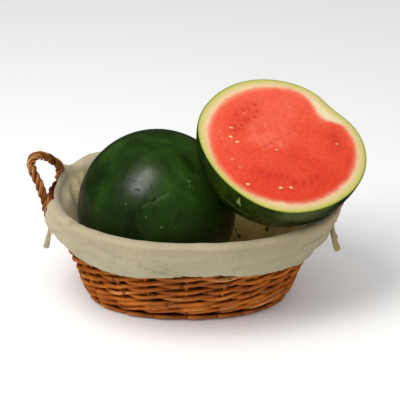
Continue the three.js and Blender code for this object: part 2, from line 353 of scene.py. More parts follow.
def willow_material(name, colours, along_scale):
    """Willow under a honey varnish: streaks along each rod, a tone of its own for each rod that
    also carries painted shade in hollows and gaps, dark knots here and there, dirt and deeper
    varnish in patches, and a satin shine."""
    made, shader, place = new_material(name)
    uv = node(place, "UVMap", {}, uv_map="UVMap").outputs["UV"]
    streak = noise_node(mapped(uv, Scale=(along_scale, 7.0, 1.0)), 1.0, 4.0, 0.68)
    cloud = noise_node(place, 34.0, 3.0)
    knot = noise_node(place, 88.0, 1.0)
    colour = ramp(painted(place, "tone"), *zip((0.0, 0.4, 0.72, 1.0), colours))
    colour = tinted(
        0.85, colour, streak,
        (0.30, (0.42, 0.34, 0.26)), (0.50, (0.92, 0.88, 0.84)), (0.68, (1.25, 1.3, 1.4)),
    )
    colour = tinted(0.75, colour, cloud, (0.32, (0.55, 0.46, 0.38)), (0.62, (1.1, 1.08, 1.05)))
    colour = tinted(0.85, colour, knot, (0.27, (0.30, 0.20, 0.14)), (0.34, 1.0))
    feed(
        shader, Base_Color=colour, Roughness=scaled(streak, 0.25, 0.30),
        Normal=relief(streak, 0.45, 0.0007),
        Specular_IOR_Level=0.3, Coat_Weight=0.06, Coat_Roughness=0.3,
    )
    return made


willow = willow_material(
    "varnished_willow",
    ((0.07, 0.013, 0.001), (0.44, 0.110, 0.005), (0.57, 0.168, 0.011), (0.74, 0.34, 0.10)),
    42.0,
)
chance = random.Random(11)


def stake_turn(number):
    """Where a stake stands round the basket, in radians: not quite evenly spaced."""
    waver = 0.016 * sin(tau * number * 3 / stake_count + 1.0)
    waver += 0.010 * sin(tau * number * 8 / stake_count + 2.0)
    return tau * number / stake_count + stake_shift + waver


stakes = []
for number in range(stake_count):
    turn = stake_turn(number)
    levels = [stake_foot + stake_length * i / stake_steps for i in range(stake_steps + 1)]
    path = [clear_of_half(on_wall(turn, level, stake_out), stake_clearance) for level in levels]
    tone = chance.uniform(0.35, 0.70)
    # Painted shade: each stake's tone fades to its darkest towards the foot, for the dark gaps there.
    tones = [tone * clamp((level - 12.0) / 14.0) for level in levels]
    stakes.append((path, stake_radius, 8, tones, False))
stakes_piece = rod_piece("basket_stakes", stakes, willow)


# ------------
# Basket: woven wall. Above the foot lie two bands of a three-rod wale, then
# rows of pairing: two rods that twist round each other between the stakes.
# ------------
rod_thick = 3.4
rod_thin = 2.75
weave_reach = 4.6
weave_wave = 3.4
row_levels = (46.0, 60.2, 74.4, 88.6, 102.8, 117.0, 131.2)
wale_levels = (22.0, 32.4)
wale_wave = 3.8
wale_radius = 2.9
wale_taper = 0.3
rod_clearance = 6.0
rod_sides = 8
hollow_shade = 0.34
steps_per_stake = 8
weave_steps = stake_count * steps_per_stake
rods_per_round = 4


def bumps(a, b, seed):
    return noise.noise(Vector((a, b, seed)))


def wander(turn, seed, size):
    """A slow, seeded waver round the basket, so that no two rows run quite alike."""
    return size * bumps(cos(turn) * 2.2, sin(turn) * 2.2, seed * 7.31)


def laid_rods(thick, thin, low_tone, high_tone):
    """A round of weave is laid with a few rods one after another: each has its own tone and
    tapers from its butt to its tip. Gives the radius and the tone at every step."""
    starts = sorted(chance.sample(range(stake_count), rods_per_round))
    tones = [chance.uniform(low_tone, high_tone) for _ in starts]
    radii = []
    shades = []
    for step in range(weave_steps):
        number = step / steps_per_stake
        which = sum(1 for start in starts if start <= number) - 1
        length = (starts[(which + 1) % rods_per_round] - starts[which]) % stake_count
        share = ((number - starts[which]) % stake_count) / length
        radii.append(mix(thick, thin, share))
        shades.append(tones[which])
    return radii, shades


def with_hollow_shade(tones, reaches):
    """Tones darkened where a rod dips behind the stakes, as painted shade in the weave's hollows."""
    return [
        tone - hollow_shade * (0.5 - 0.5 * clamp(reach / weave_reach, -1.0))
        for tone, reach in zip(tones, reaches)
    ]


def pairing(turn, number, level, row, which):
    """Where one rod of a pair runs: in front of one stake and behind the next. Gives its height,
    the weave's middle and how far out from that it stands."""
    phase = pi * (number + which)
    reach = weave_reach * cos(phase) * (1 + wander(turn, row + which * 0.5, 0.3))
    height = level + weave_wave * sin(phase) + wander(turn, row * 1.7 + which * 3.3, 2.2)
    return height, stake_out + 0.6, reach


def wale(turn, number, level, band, which):
    """The same for one rod of three: in front of two stakes and behind the next."""
    phase = (number * 21 / stake_count + which) / 3 * tau
    reach = clamp(1.7 * cos(phase) + 0.6, -1.0) * weave_reach
    height = level + wale_wave * sin(phase) + wander(turn, 20 + band * 3 + which, 1.8)
    return height, stake_out + 1.6, reach


wall_rods = []
for weave, levels, rods, sizes, tone_ends in (
    (pairing, row_levels, 2, (rod_thick, rod_thin), (0.46, 1.0)),
    (wale, wale_levels, 3, (wale_radius + wale_taper, wale_radius - wale_taper), (0.38, 0.92)),
):
    for row, level in enumerate(levels):
        for which in range(rods):
            radii, tones = laid_rods(*sizes, *tone_ends)
            path = []
            reaches = []
            for step in range(weave_steps):
                number = step / steps_per_stake
                turn = stake_turn(number)
                height, out, reach = weave(turn, number, level, row, which)
                path.append(clear_of_half(on_wall(turn, height, out + reach), rod_clearance))
                reaches.append(reach)
            # Painted shade: each rod's tone is darkened where it dips behind the stakes.
            wall_rods.append((path, radii, rod_sides, with_hollow_shade(tones, reaches), True))
stub_turn = radians(327.5)
stub = [on_wall(stub_turn - 0.005 * i, 52.0 + i * 0.9, -10.0 + 2.5 * i) for i in range(7)]
wall_rods.append((stub, 2.4, rod_sides, 0.35, False))
wall_piece = rod_piece("basket_wall", wall_rods, willow)


# ------------
# Basket: foot. A border of rods lies on the ground under the wall. One starts
# with a cut end beside each stake, slants down to the ground and runs on inside
# the next one.
# ------------
border_radius = 2.85
border_span = 1.9
border_rise = 4.4
border_steps = 26
border_outs = (-1.0, -7.6)
inner_rings = ((4.6, -11.5, 3.4), (11.5, -12.5, 4.0))
ring_steps = 132
border_rods = []
for number in range(stake_count):
    path = []
    tones = []
    seed = chance.uniform(0, 9)
    start = number + chance.uniform(-0.2, 0.2)
    tone = chance.uniform(0.18, 0.40)
    for step in range(border_steps + 1):
        share = step / border_steps
        turn = stake_turn(start + border_span * share)
        level = border_radius + 0.15 + border_rise * (1 - share) ** 1.3
        out = mix(*border_outs, share)
        path.append(on_wall(turn, level + abs(wander(turn, 50 + seed, 0.7)), out))
        tones.append(tone + 0.35 * max(0.0, 1 - share / 0.35))
    border_rods.append((path, border_radius, 9, tones, False))
# Painted shade: the inner rings take the darkest tone, so the foot's gaps look dark behind them.
for level, out, radius in inner_rings:
    ring = [on_wall(tau * i / ring_steps, level, out) for i in range(ring_steps)]
    border_rods.append((ring, radius, rod_sides, 0.0, True))
foot_piece = rod_piece("basket_foot", border_rods, willow)


# ------------
# Basket: floor. Sticks run out from the middle to the stakes, and one rod
# after another is woven over and under them.
# ------------
floor_level = 7.4
floor_rings = 17
floor_out = -8.0
floor_stick = 2.0
floor_rod = 2.7
floor_wave = 2.0
floor_sides = 6
floor_rods = []
for number in range(stake_count):
    turn = stake_turn(number)
    path = [on_wall(turn, floor_level, floor_out, 0.04 + 0.92 * i / 12) for i in range(13)]
    floor_rods.append((path, floor_stick, floor_sides, chance.uniform(0.3, 0.6), False))
for ring in range(floor_rings):
    spread = 0.09 + 0.85 * ring / (floor_rings - 1)
    path = []
    for step in range(stake_count * 6):
        number = step / 6
        over = floor_wave * cos(pi * (number + ring))
        path.append(on_wall(stake_turn(number), floor_level + over, floor_out, spread))
    floor_rods.append((path, floor_rod, floor_sides, chance.uniform(0.25, 0.6), True))
floor_piece = rod_piece("basket_floor", floor_rods, willow)


# ------------
# Basket: rim. The stakes' ends are plaited into a thick round edge, which the
# cloth hides but for the stretch between each handle's legs.
# ------------
rim_level = 146.8
rim_twists = 15
rim_steps = 264
rim_reach = 3.7
rim_wave = 3.4
rim_rod = 2.8
rim_bulge = 4.5
rim_plaits = 4


def hump(off, width):
    """1 in the middle, dying away to 0 over a few widths."""
    return exp(-(off / width) ** 2)


rim_rods = []
for which in range(rim_plaits):
    path = []
    for step in range(rim_steps):
        turn = tau * step / rim_steps
        phase = tau * (step / rim_steps * rim_twists + which / rim_plaits)
        bulge = rim_bulge * hump(degrees(turn) - 178.0, 11.0)
        out = stake_out + 0.8 + rim_reach * cos(phase) + bulge
        path.append(clear_of_half(on_wall(turn, rim_level + rim_wave * sin(phase), out), rod_clearance))
    rim_rods.append((path, rim_rod, rod_sides, chance.uniform(0.0, 0.24), True))
rim_piece = rod_piece("basket_rim", rim_rods, willow)

for piece in (stakes_piece, wall_piece, foot_piece, floor_piece, rim_piece):
    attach(piece, "root")
    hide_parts("basket")


# ------------
# Handles. Bundles of thin willow rods are twisted into a rope for each handle,
# bent to a loop, and its two ends are pushed down into the wall by a stake.
# ------------
handle_routes = {
    "left": (
        (-172, -42.5, 100), (-178, -43.5, 113), (-185, -44, 125), (-190.5, -44.5, 137),
        (-193.5, -44.5, 150), (-195.5, -44.5, 165), (-199.5, -43, 180), (-205, -40, 195),
        (-211.5, -33, 206), (-214, -23, 212), (-211.5, -12, 215), (-204.5, -1, 213),
        (-197, 12, 204), (-190.5, 26, 192), (-186, 40, 180.5), (-185, 49, 170),
        (-187, 54, 158), (-188, 57, 147), (-185, 58.5, 133), (-179, 58.5, 117), (-173, 58, 102),
    ),
    "right": (
        (180, -42, 100), (187, -43, 114), (195, -43.5, 130), (204, -42.5, 147),
        (209.5, -38, 158.5), (215.5, -30, 168.5), (223, -20, 179.5), (231, -8, 191),
        (236.5, 6, 200.5), (237, 20, 203.5), (230, 34, 195), (218.5, 41, 177),
        (209, 42.5, 160), (203.5, 43, 146), (195, 43, 130), (187, 42.5, 114), (180, 42, 100),
    ),
}
strand_offset = 3.1
strand_turns = 9.0
rods_per_strand = 3
thin_rod_offset = 1.75
thin_rod_radius = 1.95
route_steps = 190


def smooth_route(points, steps):
    """A Catmull-Rom curve through the points, with even steps along it."""
    spots = [Vector(point) for point in points]
    dense = []
    for i in range(len(spots) - 1):
        a, b = spots[max(i - 1, 0)], spots[i]
        c, d = spots[i + 1], spots[min(i + 2, len(spots) - 1)]
        for k in range(20):
            t = k / 20
            dense.append(0.5 * (
                2 * b + (c - a) * t + (2 * a - 5 * b + 4 * c - d) * t * t
                + (3 * b - a - 3 * c + d) * t * t * t
            ))
    dense.append(spots[-1])
    lengths = [0.0]
    for i in range(1, len(dense)):
        lengths.append(lengths[-1] + (dense[i] - dense[i - 1]).length)
    even = []
    at = 0
    for step in range(steps + 1):
        goal = lengths[-1] * step / steps
        while at < len(dense) - 2 and lengths[at + 1] < goal:
            at += 1
        share = (goal - lengths[at]) / (lengths[at + 1] - lengths[at])
        even.append(dense[at].lerp(dense[at + 1], share))
    return even


def rope_along(route):
    """Three strands of three thin rods each, twisted round a route and slimmer at its ends."""
    steps = len(route) - 1
    normal = None
    rods = [[] for _ in range(3 * rods_per_strand)]
    thick = []
    for i, spot in enumerate(route):
        way = way_at(route, i)
        normal = square_to(way, normal)
        side = way.cross(normal)
        taper = mix(0.6, 1.0, min(1.0, min(i, steps - i) / steps / 0.1))
        turned = tau * strand_turns * i / steps
        for k in range(3):
            strand = turned + tau * k / 3
            centre = swung(normal, side, strand) * strand_offset
            for m in range(rods_per_strand):
                own = strand * 0.45 + tau * m / rods_per_strand + k
                aside = swung(normal, side, own) * thin_rod_offset
                rods[k * rods_per_strand + m].append(spot + (centre + aside) * taper)
        thick.append(thin_rod_radius * taper)
    return [(rod, thick, rod_sides, chance.uniform(0.15, 0.95), False) for rod in rods]


rope_willow = willow_material(
    "rope_willow",
    ((0.06, 0.015, 0.002), (0.24, 0.072, 0.010), (0.40, 0.150, 0.028), (0.66, 0.36, 0.13)),
    30.0,
)
handle_paths = {}
for side, points in handle_routes.items():
    route = smooth_route(points, route_steps)
    handle_paths[side] = route
    handle = rod_piece(f"handle_{side}_rope", rope_along(route), rope_willow)
    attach(handle, "root")
    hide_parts(f"handle_{side}")


# ------------
# Liner. One layer of unbleached calico is sewn to the shape of the basket's
# inside, turned over the rim and hangs as a skirt. It is slit at each handle,
# where the skirt's corners are drawn round the legs and tied.
# ------------
cloth_columns = 400
floor_rows = 12
wall_rows = 36
crest_rows = 14
skirt_rows = 24
cloth_thickness = 1.1
cloth_clearance = 1.6
rope_clearance = 7.8
lining_out = -14.3
lining_floor = 14.6
lining_levels = (15.6, 148.0)
lining_corner = 4.0
inner_fold_depth = 3.4
fold_level = 149.5
cloth_crest = 158.8
crest_wobble = (1.7, 0.8)
skirt_top = 147.0
skirt_out = 4.6
skirt_flare = 1.6
slack_depth = 3.6
right_pull = 2.4
tied_half = 4.5
hem_level = 96.5
hem_wave = 3.4
hem_fray = 6.5
hem_drawn = {"left": 27.0, "right": 14.0}
tie_levels = {"left": 114.0, "right": 113.0}
knot_reach = {"left": 1.5, "right": 1.2}
crest_reach = 9.6
nearest_to_wicker = 3.4
gathers = {"left": (6.5, 9.5), "right": (1.0, 6.5)}
crest_lifts = ((161.5, 4.5, 7.0), (149.0, 6.0, -3.8), (218.5, 1.1, -5.0), (213.5, 3.0, 1.8))
millimetres_per_degree = 2.9
drag_creases = (
    ((232.5, 140), (244.0, 129), 6.0, -1.7), ((244.0, 129), (256.5, 121), 6.0, -1.7),
    ((257.0, 143), (265.0, 132), 5.0, 1.8), ((265.0, 132), (272.0, 139), 5.0, 1.6),
    ((254.0, 120), (261.0, 109), 3.0, -3.0), ((261.0, 109), (268.5, 101), 3.0, -3.2),
    ((262.0, 119), (269.5, 106), 3.0, -2.6), ((279.0, 101), (287.0, 120), 3.4, -2.8),
    ((283.0, 99), (297.0, 119), 3.4, -1.7), ((289.0, 145), (306.0, 152), 7.0, 2.2),
    ((345.0, 138), (311.0, 134), 4.5, -2.2), ((311.0, 134), (284.5, 116), 4.5, -2.0),
    ((345.0, 130), (314.5, 121), 5.0, 2.0), ((314.5, 121), (299.0, 117), 5.0, 1.6),
    ((217.0, 149), (221.0, 157), 4.0, -2.6), ((206.0, 132), (221.0, 118), 5.0, 1.8),
)
lining_folds = ((176.0, 5.5, 5.0), (161.5, 3.4, 6.5), (153.0, 3.0, 3.0), (196.0, 6.0, 3.5))
fold_heights = {"left": 3.2, "right": 5.6}
fold_reaches = {"left": 190, "right": 330}
fold_seeds = {"left": 21.0, "right": 33.0}
leg_angles = {"left": (16.0, 19.0), "right": (14.5, 14.5)}
stains = (
    ((119.2, 70.1, 58.3), 4.6), ((78.0, 82.0, 38.4), 3.4), ((75.5, 83.0, 40.6), 2.6),
    ((115.5, 67.8, 49.2), 1.8), ((72.4, 87.6, 47.0), 1.6),
)


def end_angle(turn):
    """Degrees from the nearer end of the basket, that end's side, whether the point is behind
    the middle, and the degrees from the end to the handle's leg there."""
    wrapped = degrees(atan2(sin(turn), cos(turn)))
    behind = wrapped > 0
    side = "right" if abs(wrapped) < 90 else "left"
    angle = abs(wrapped) if side == "right" else 180 - abs(wrapped)
    return angle, side, behind, leg_angles[side][behind]


def smoothstep(low_end, high_end, value):
    share = clamp((value - low_end) / (high_end - low_end))
    return share * share * (3 - 2 * share)


def hem_height(turn):
    """The skirt's lower edge: six slow waves, ragged by a few millimetres, frayed in the middle
    of the front and drawn up to the knots at the ends."""
    angle, side, behind, leg = end_angle(turn)
    wave = hem_wave * cos(6 * (turn - radians(272)))
    rag = 1.2 * bumps(turn * 9, 0.0, 3.1) + 0.7 * bumps(turn * 31, 0.0, 5.7)
    fray = hem_fray * abs(bumps(turn * 60, 0.0, 1.7)) * hump(degrees(turn) % 360 - 276, 14.0)
    if side == "left":
        drawn = hem_drawn[side] * smoothstep(leg + 22.0, leg + 4.5, angle)
    else:
        drawn = hem_drawn[side] * smoothstep(leg + 14.0, leg, angle)
        drawn -= 0.0 if behind else 7.0 * hump(angle - 37.0, 10.0)
    return hem_level + wave * smoothstep(leg, leg + 25.0, angle) + rag + fray + drawn


def humps_at(place, places, start=0.0):
    """The sum of soft humps, each with its middle in degrees, its width and its height."""
    return sum((height * hump(place - middle, width) for middle, width, height in places), start)


def inner_folds(turn, level):
    """Upright folds of the lining: soft ones all round, and a few deep ones at the left end,
    where the cloth is slack."""
    wave = bumps(cos(turn) * 5.5, sin(turn) * 5.5, 11.3)
    wave += 0.5 * bumps(cos(turn) * 12, sin(turn) * 12, 4.4)
    depth = max(0.0, wave + 0.2) * inner_fold_depth
    depth = humps_at(degrees(turn) % 360 + 0.03 * (level - 100), lining_folds, depth)
    return -depth * smoothstep(22, 60, level) * smoothstep(160, 128, level)


def skirt_folds(turn, level):
    """Drag wrinkles of the skirt: they fan out from each tied corner and die away."""
    angle, side, behind, _ = end_angle(turn)
    along = radians(angle) * 180
    fan = atan2(level - tie_levels[side] + 8, along + 10)
    far = hypot(level - tie_levels[side], along)
    seed = fold_seeds[side] + (5.0 if behind else 0.0)
    ridge = bumps(fan * 8.0, far * 0.004, seed) + 0.5 * bumps(fan * 19.0, far * 0.008, seed + 2)
    sharp = 1 - 3.2 * abs(bumps(fan * 7.0, far * 0.005, seed + 4))
    strength = fold_heights[side] * smoothstep(0, 34, far) * smoothstep(fold_reaches[side], 60, far)
    slow = 2.0 * bumps(turn * 2.6, level * 0.014, 8.8) + 0.9 * bumps(turn * 8, level * 0.03, 2.8)
    return (ridge + 0.55 * sharp) * strength + slow


def off_stretch(at, start, end):
    """How far a point is from a stretch of straight line, in a plane or in space."""
    way = end - start
    share = clamp((at - start).dot(way) / way.length_squared)
    return (at - start - way * share).length


def dragged(turn, level):
    """How far the skirt stands out or in along its few long creases. Each runs between two
    places, given as degrees round the basket and level, and has its width and height."""
    at = Vector((degrees(turn) % 360 * millimetres_per_degree, level))
    out = 0.0
    for start, end, width, height in drag_creases:
        first, last = (Vector((place * millimetres_per_degree, rise)) for place, rise in (start, end))
        out += height * hump(off_stretch(at, first, last), width)
    return out


def slack(turn, share):
    """How far the skirt swells out halfway down: most at the left front."""
    return slack_depth * hump(degrees(turn) % 360 - 232, 40) * sin(pi * share ** 0.8)


def gathered(turn):
    """How far the skirt stands off the wicker where its corners are drawn round the legs."""
    angle, side, behind, leg = end_angle(turn)
    reach, width = gathers[side]
    out = reach * hump(angle - leg - 0.5, width)
    if not behind:
        out += knot_reach[side] * hump(angle - 5.5, 5.0)
    return out


def crest_lift(turn):
    """The fold over the rim isn't level: behind the left handle it sags, beside the handle's
    back leg it stands up, and beside its front leg it has a notch."""
    return humps_at(degrees(turn) % 360, crest_lifts)


def cloth_point(turn, row):
    """A point of the liner in millimetres: rows run from the middle of the floor up the inside,
    over the rim and down the skirt."""
    angle, side, _, leg = end_angle(turn)
    if row < floor_rows:
        spread = (row / floor_rows) ** 0.8 * 0.97
        level = lining_floor + 0.8 * bumps(turn * 3, row * 0.3, 9.9) * spread
        return on_wall(turn, level, lining_out, spread)
    row -= floor_rows
    if row < wall_rows:
        share = row / wall_rows
        level = mix(*lining_levels, share)
        corner = lining_corner * (1 - smoothstep(0.0, 0.08, share))
        return on_wall(turn, level, lining_out - corner + inner_folds(turn, level))
    row -= wall_rows
    if row < crest_rows:
        share = row / (crest_rows - 1)
        between = smoothstep(leg, leg - 4.5, angle)
        arc = pi * mix(1.0, mix(0.06, 0.66, between), share)
        slow, quick = crest_wobble
        wobble = slow * bumps(turn * 7, share, 2.2) + quick * bumps(turn * 21, share * 2, 6.2)
        raised = wobble + crest_lift(turn)
        level = fold_level + (cloth_crest - fold_level) * sin(arc) ** 0.8 + raised * sin(arc)
        drawn_in = smoothstep(36.0, 14.0, angle) if side == "right" and arc < pi / 2 else 0.0
        return on_wall(turn, level, -5.2 + mix(crest_reach, 6.2, drawn_in) * cos(arc))
    row -= crest_rows
    share = (row + 1) / skirt_rows
    inside = max(0.0, 1 - angle / leg)
    top = mix(skirt_top, tie_levels[side] + tied_half, min(1.0, inside * 2.2) ** 0.6)
    string = smoothstep(1.5, 0.75, angle / leg)
    level = mix(top, mix(hem_height(turn), tie_levels[side] - tied_half, string), share)
    out = skirt_out + skirt_flare * smoothstep(0, 0.4, share)
    out += gathered(turn) * smoothstep(153, 139, level)
    if side == "right":
        out -= right_pull * smoothstep(40.0, 14.0, angle) * smoothstep(1.0, 0.2, share)
    out += slack(turn, share)
    fold = (skirt_folds(turn, level) + dragged(turn, level)) * smoothstep(0.0, 0.25, share)
    return on_wall(turn, level, max(out + fold, nearest_to_wicker))


def clear_of_rope(spot, route, clearance):
    """Moves a point that a handle's leg would touch away from the rope's middle line."""
    return clear_of(spot, min(route, key=lambda other: (other - spot).length_squared), clearance)


def make_liner():
    total = floor_rows + wall_rows + crest_rows + skirt_rows
    first_crest = floor_rows + wall_rows
    last_crest = first_crest + crest_rows - 1
    near_ropes = {side: route[::3] for side, route in handle_paths.items()}
    bm = bmesh.new()
    lining_layer = bm.verts.layers.float.new("lining")
    middle = bm.verts.new(on_wall(0, lining_floor, 0, 0) * MM)
    grid = []
    for row in range(1, total):
        line = []
        for column in range(cloth_columns):
            turn = tau * column / cloth_columns
            spot = clear_of_half(cloth_point(turn, row), cloth_clearance)
            angle, side, _, _ = end_angle(turn)
            if row > first_crest - 3 and angle < 30:
                spot = clear_of_rope(spot, near_ropes[side], rope_clearance)
            vert = bm.verts.new(spot * MM)
            vert[lining_layer] = smoothstep(first_crest + 3, first_crest - 4, row)
            line.append(vert)
        grid.append(line)
    for column in range(cloth_columns):
        bm.faces.new((middle, grid[0][column], grid[0][(column + 1) % cloth_columns]))
    for row, (upper, lower) in enumerate(zip(grid, grid[1:])):
        for column in range(cloth_columns):
            after = (column + 1) % cloth_columns
            angle, _, _, leg = end_angle(tau * (column + 0.5) / cloth_columns)
            if row + 1 != last_crest or angle >= leg:
                bm.faces.new((upper[column], lower[column], lower[after], upper[after]))
    for face in bm.faces:
        face.smooth = True
    return object_from(bm, "liner_cloth")


def vector_node(operation, *values):
    return math_node(operation, *values, kind="VectorMath")


def calico_material():
    """Unbleached calico: a fine plain weave, slubs and small seed flecks, creased by hand, with a few
    brown stains on the lining. Painted light and shade: the outside is a little greyer towards
    the hem, all of it is lighter towards the left and darker and browner towards the right, the
    lining is lighter and warmer than the outside as painted bounce light and lighter still at
    the left end, and where the cloth lies against the wicker it is painted near-black brown as
    the shade seen through the weave's gaps. Quite matt."""
    made, shader, place = new_material("calico")
    slow = noise_node(place, 9.0, 3.0)
    fine = noise_node(place, 420.0, 2.0)
    fleck = noise_node(place, 260.0, 0.0)
    parts = node(place, "SeparateXYZ", {"Vector": place}).outputs
    height = math_node("ADD", parts["Z"], scaled(slow, 0.02, -0.01))
    # Painted light: the outside's colour shifts a little with height, greyer towards the hem.
    outside = ramp(
        scaled(height, 1 / 0.05, -2.1, True),
        (0.0, (0.385, 0.355, 0.230)), (0.5, (0.385, 0.345, 0.228)), (1.0, (0.370, 0.322, 0.212)),
    )
    # Painted light: the lining is lighter and warmer than the outside, as bounce light inside the basket,
    # and lighter still at the left end.
    inside = ramp(
        scaled(parts["X"], -1 / 0.07, -1.7, True),
        (0.0, (0.60, 0.47, 0.175)), (1.0, (0.80, 0.71, 0.48)),
    )
    colour = mixed(painted(place, "lining"), outside, inside)
    # Painted light and shade: lighter towards the left end, darker and browner towards the right.
    colour = tinted(
        1.0, colour, scaled(parts["X"], 1 / 0.44, 0.5, True),
        (0.0, (1.14, 1.12, 1.14)), (0.35, (1.10, 1.08, 1.10)), (0.60, (1.0, 0.99, 0.98)),
        (0.90, (0.90, 0.86, 0.80)), (1.0, (0.94, 0.80, 0.60)),
    )
    colour = tinted(1.0, colour, slow, (0.32, (0.88, 0.885, 0.86)), (0.66, (1.09, 1.08, 1.08)))
    colour = tinted(0.6, colour, fine, (0.35, (0.88, 0.87, 0.84)), (0.65, (1.06, 1.06, 1.05)))
    colour = tinted(0.7, colour, fleck, (0.15, (0.62, 0.54, 0.42)), (0.20, 1.0))
    ragged = node(place, "TexNoise", {"Vector": place, "Scale": 300.0}).outputs["Color"]
    warped = vector_node("ADD", place, vector_node("MULTIPLY", ragged, (0.0016,) * 3))
    for centre, radius in stains:
        gap = vector_node("DISTANCE", warped, tuple((value + 0.8) * MM for value in centre))
        mask = ramp(math_node("DIVIDE", gap, radius * MM), (0.72, 0.88), (1.0, 0.0))
        colour = mixed(mask, colour, (0.055, 0.030, 0.016))
    woven = fine
    for way in "ZX":
        threads = {"Vector": place, "Scale": 330.0, "Distortion": 1.2}
        wave = node(place, "TexWave", threads, bands_direction=way)
        woven = math_node("ADD", woven, wave.outputs["Fac"])
    thread_relief = relief(woven, 0.25, 0.0004)
    creases = noise_node(place, 27.0, 4.0, 0.6, 1.2)
    # Painted shade: near-black brown on the skin that faces the wicker.
    feed(
        shader, Base_Color=mixed(painted(place, "behind"), colour, (0.025, 0.014, 0.006)),
        Normal=relief(creases, 0.5, 0.006, Normal=thread_relief),
        Roughness=0.92, Specular_IOR_Level=0.2, Sheen_Weight=0.12,
    )
    return made


def select_only(*pieces):
    """Selects just these pieces and makes the first one active."""
    bpy.ops.object.select_all(action="DESELECT")
    for piece in reversed(pieces):
        piece.select_set(True)
        bpy.context.view_layer.objects.active = piece


calico = calico_material()
liner = make_liner()
liner.data.materials.append(calico)
select_only(liner)
solid = liner.modifiers.new("cloth", "SOLIDIFY")
solid.thickness = cloth_thickness * MM
solid.offset = 0.0
bpy.ops.object.modifier_apply(modifier="cloth")
# Painted shade: the lining's skin that faces the wicker is marked, and the calico paints it near black.
inside_basket = Vector((0.0, 0.0, 120.0)) * MM
lining_side = [cell.value for cell in liner.data.attributes["lining"].data]
wicker_side = liner.data.attributes.new("behind", "FLOAT", "POINT")
for vert, share, cell in zip(liner.data.vertices, lining_side, wicker_side.data):
    cell.value = share if vert.normal.dot(vert.co - inside_basket) > 0 else 0.0
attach(liner, "root")
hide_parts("liner")


# ------------
# Ties. The corners' strings of folded calico are knotted below each handle,
# and their ends hang down.
# ------------
tie_shapes = {
    "left": {
        "knot": (-194.0, -19, 113),
        "tails": (
            ((-194, -21, 114), (-195.0, -26, 106), (-197.5, -29, 96), (-201.0, -31, 82.5)),
            ((-194, -14, 112), (-195, -8, 104), (-196, -4, 97), (-197, -2, 91)),
        ),
        "width": 9.6,
    },
    "right": {
        "knot": (202.5, -20, 115),
        "tails": (
            ((205, -23, 114), (205.5, -27, 106), (208, -30, 94), (213, -31, 78)),
            ((203, -17, 113), (204.5, -18, 106), (207, -20, 98), (209.5, -21, 91)),
        ),
        "width": 10.6,
    },
}
tail_sides = 12
tail_steps = 28
tail_thickness = 2.6
knot_half = (5.0, 7.0, 5.4)


def add_strip(bm, route, width, thickness):
    """A folded strip of cloth along a route, wider towards its end, with a soft section and a
    rounded end."""
    rings = []
    steps = len(route) - 1
    for i, spot in enumerate(route):
        share = i / steps
        way = way_at(route, i)
        across = square_to(way, Vector((1, 0.25, 0)))
        front = way.cross(across)
        rounded = sqrt(max(0.0, 1 - (max(0.0, share - 0.86) / 0.15) ** 2))
        wide = width / 2 * mix(0.38, 1.0, share ** 0.8) * mix(0.45, 1.0, rounded)
        ring = []
        for k in range(tail_sides):
            turn = tau * k / tail_sides
            c, s = cos(turn), sin(turn)
            reach = wide * copysign(abs(c) ** 0.6, c)
            deep = thickness / 2 * copysign(abs(s) ** 0.7, s)
            deep += 0.5 * sin(reach * 1.3 + i * 0.3)
            ring.append(bm.verts.new((spot + across * reach + front * deep) * MM))
        rings.append(ring)
    for i in range(steps):
        for k in range(tail_sides):
            m = (k + 1) % tail_sides
            bm.faces.new((rings[i][k], rings[i][m], rings[i + 1][m], rings[i + 1][k])).smooth = True
    bm.faces.new(rings[0][::-1])
    bm.faces.new(rings[-1])


def make_tie(side, shape):
    bm = bmesh.new()
    for tail in shape["tails"]:
        add_strip(bm, smooth_route(tail, tail_steps), shape["width"], tail_thickness)
    tails = object_from(bm, f"tie_{side}_cloth")
    select_only()
    centre = Vector(shape["knot"]) * MM
    bpy.ops.mesh.primitive_uv_sphere_add(segments=28, ring_count=18, radius=1.0, location=centre)
    knot = bpy.context.object
    knot.scale = [half * MM for half in knot_half]
    bpy.ops.object.transform_apply(location=True, rotation=True, scale=True)
    for vert in knot.data.vertices:
        away = vert.co - centre
        turn = atan2(away.z, away.x)
        crease = sin(2 * turn + away.y * 700) * 0.10 + 0.05 * sin(5 * turn)
        vert.co = centre + away * (1.0 + crease)
    bpy.ops.object.shade_smooth()
    select_only(tails, knot)
    bpy.ops.object.join()
    tails.data.materials.append(calico)
    return tails


for side, shape in tie_shapes.items():
    tie = make_tie(side, shape)
    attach(tie, "root")
    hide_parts(f"tie_{side}")


# ------------
# Whole melon. A round ripe watermelon with a thick, almost evenly dark green
# rind. It stands on the lined floor and carries one side of the half.
# ------------
whole_centre = Vector((-43.7, 3.4, 128.7))
whole_radius = 112.6
whole_flat = 4.8
meeting = half_centre - whole_centre
meeting_way = meeting.normalized()
whole_crease = (
    ((-28.5, -99.6, 44.1), (-16.5, -100.5, 48.0), (-7.6, -99.0, 53.0), (3.0, -94.0, 61.9)),
)
crease_depth = 0.12
mark_margin = 5.0
whole_nicks = (
    ((-25.2, -84.3, 70.5), (-22.2, -84.0, 71.6), (-19.4, -85.8, 70.4)),
    ((-3.5, -95.5, 59.6), (1.6, -93.6, 62.6)), ((-34.8, -82.0, 68.9), (-33.8, -82.4, 69.0)),
    ((18.7, -67.4, 88.2), (19.2, -67.8, 87.8)), ((12.3, -88.8, 68.1), (12.9, -88.7, 68.1)),
)
whole_dark_patches = (((38.1, -38.0, 98.9), (49.0, -51.5, 87.3)),)
whole_scuffs = (
    ((-13.2, -99.3, 51.3), (-2.4, -96.9, 57.3), (7.2, -93.8, 61.8), (19.0, -89.5, 65.6)),
)
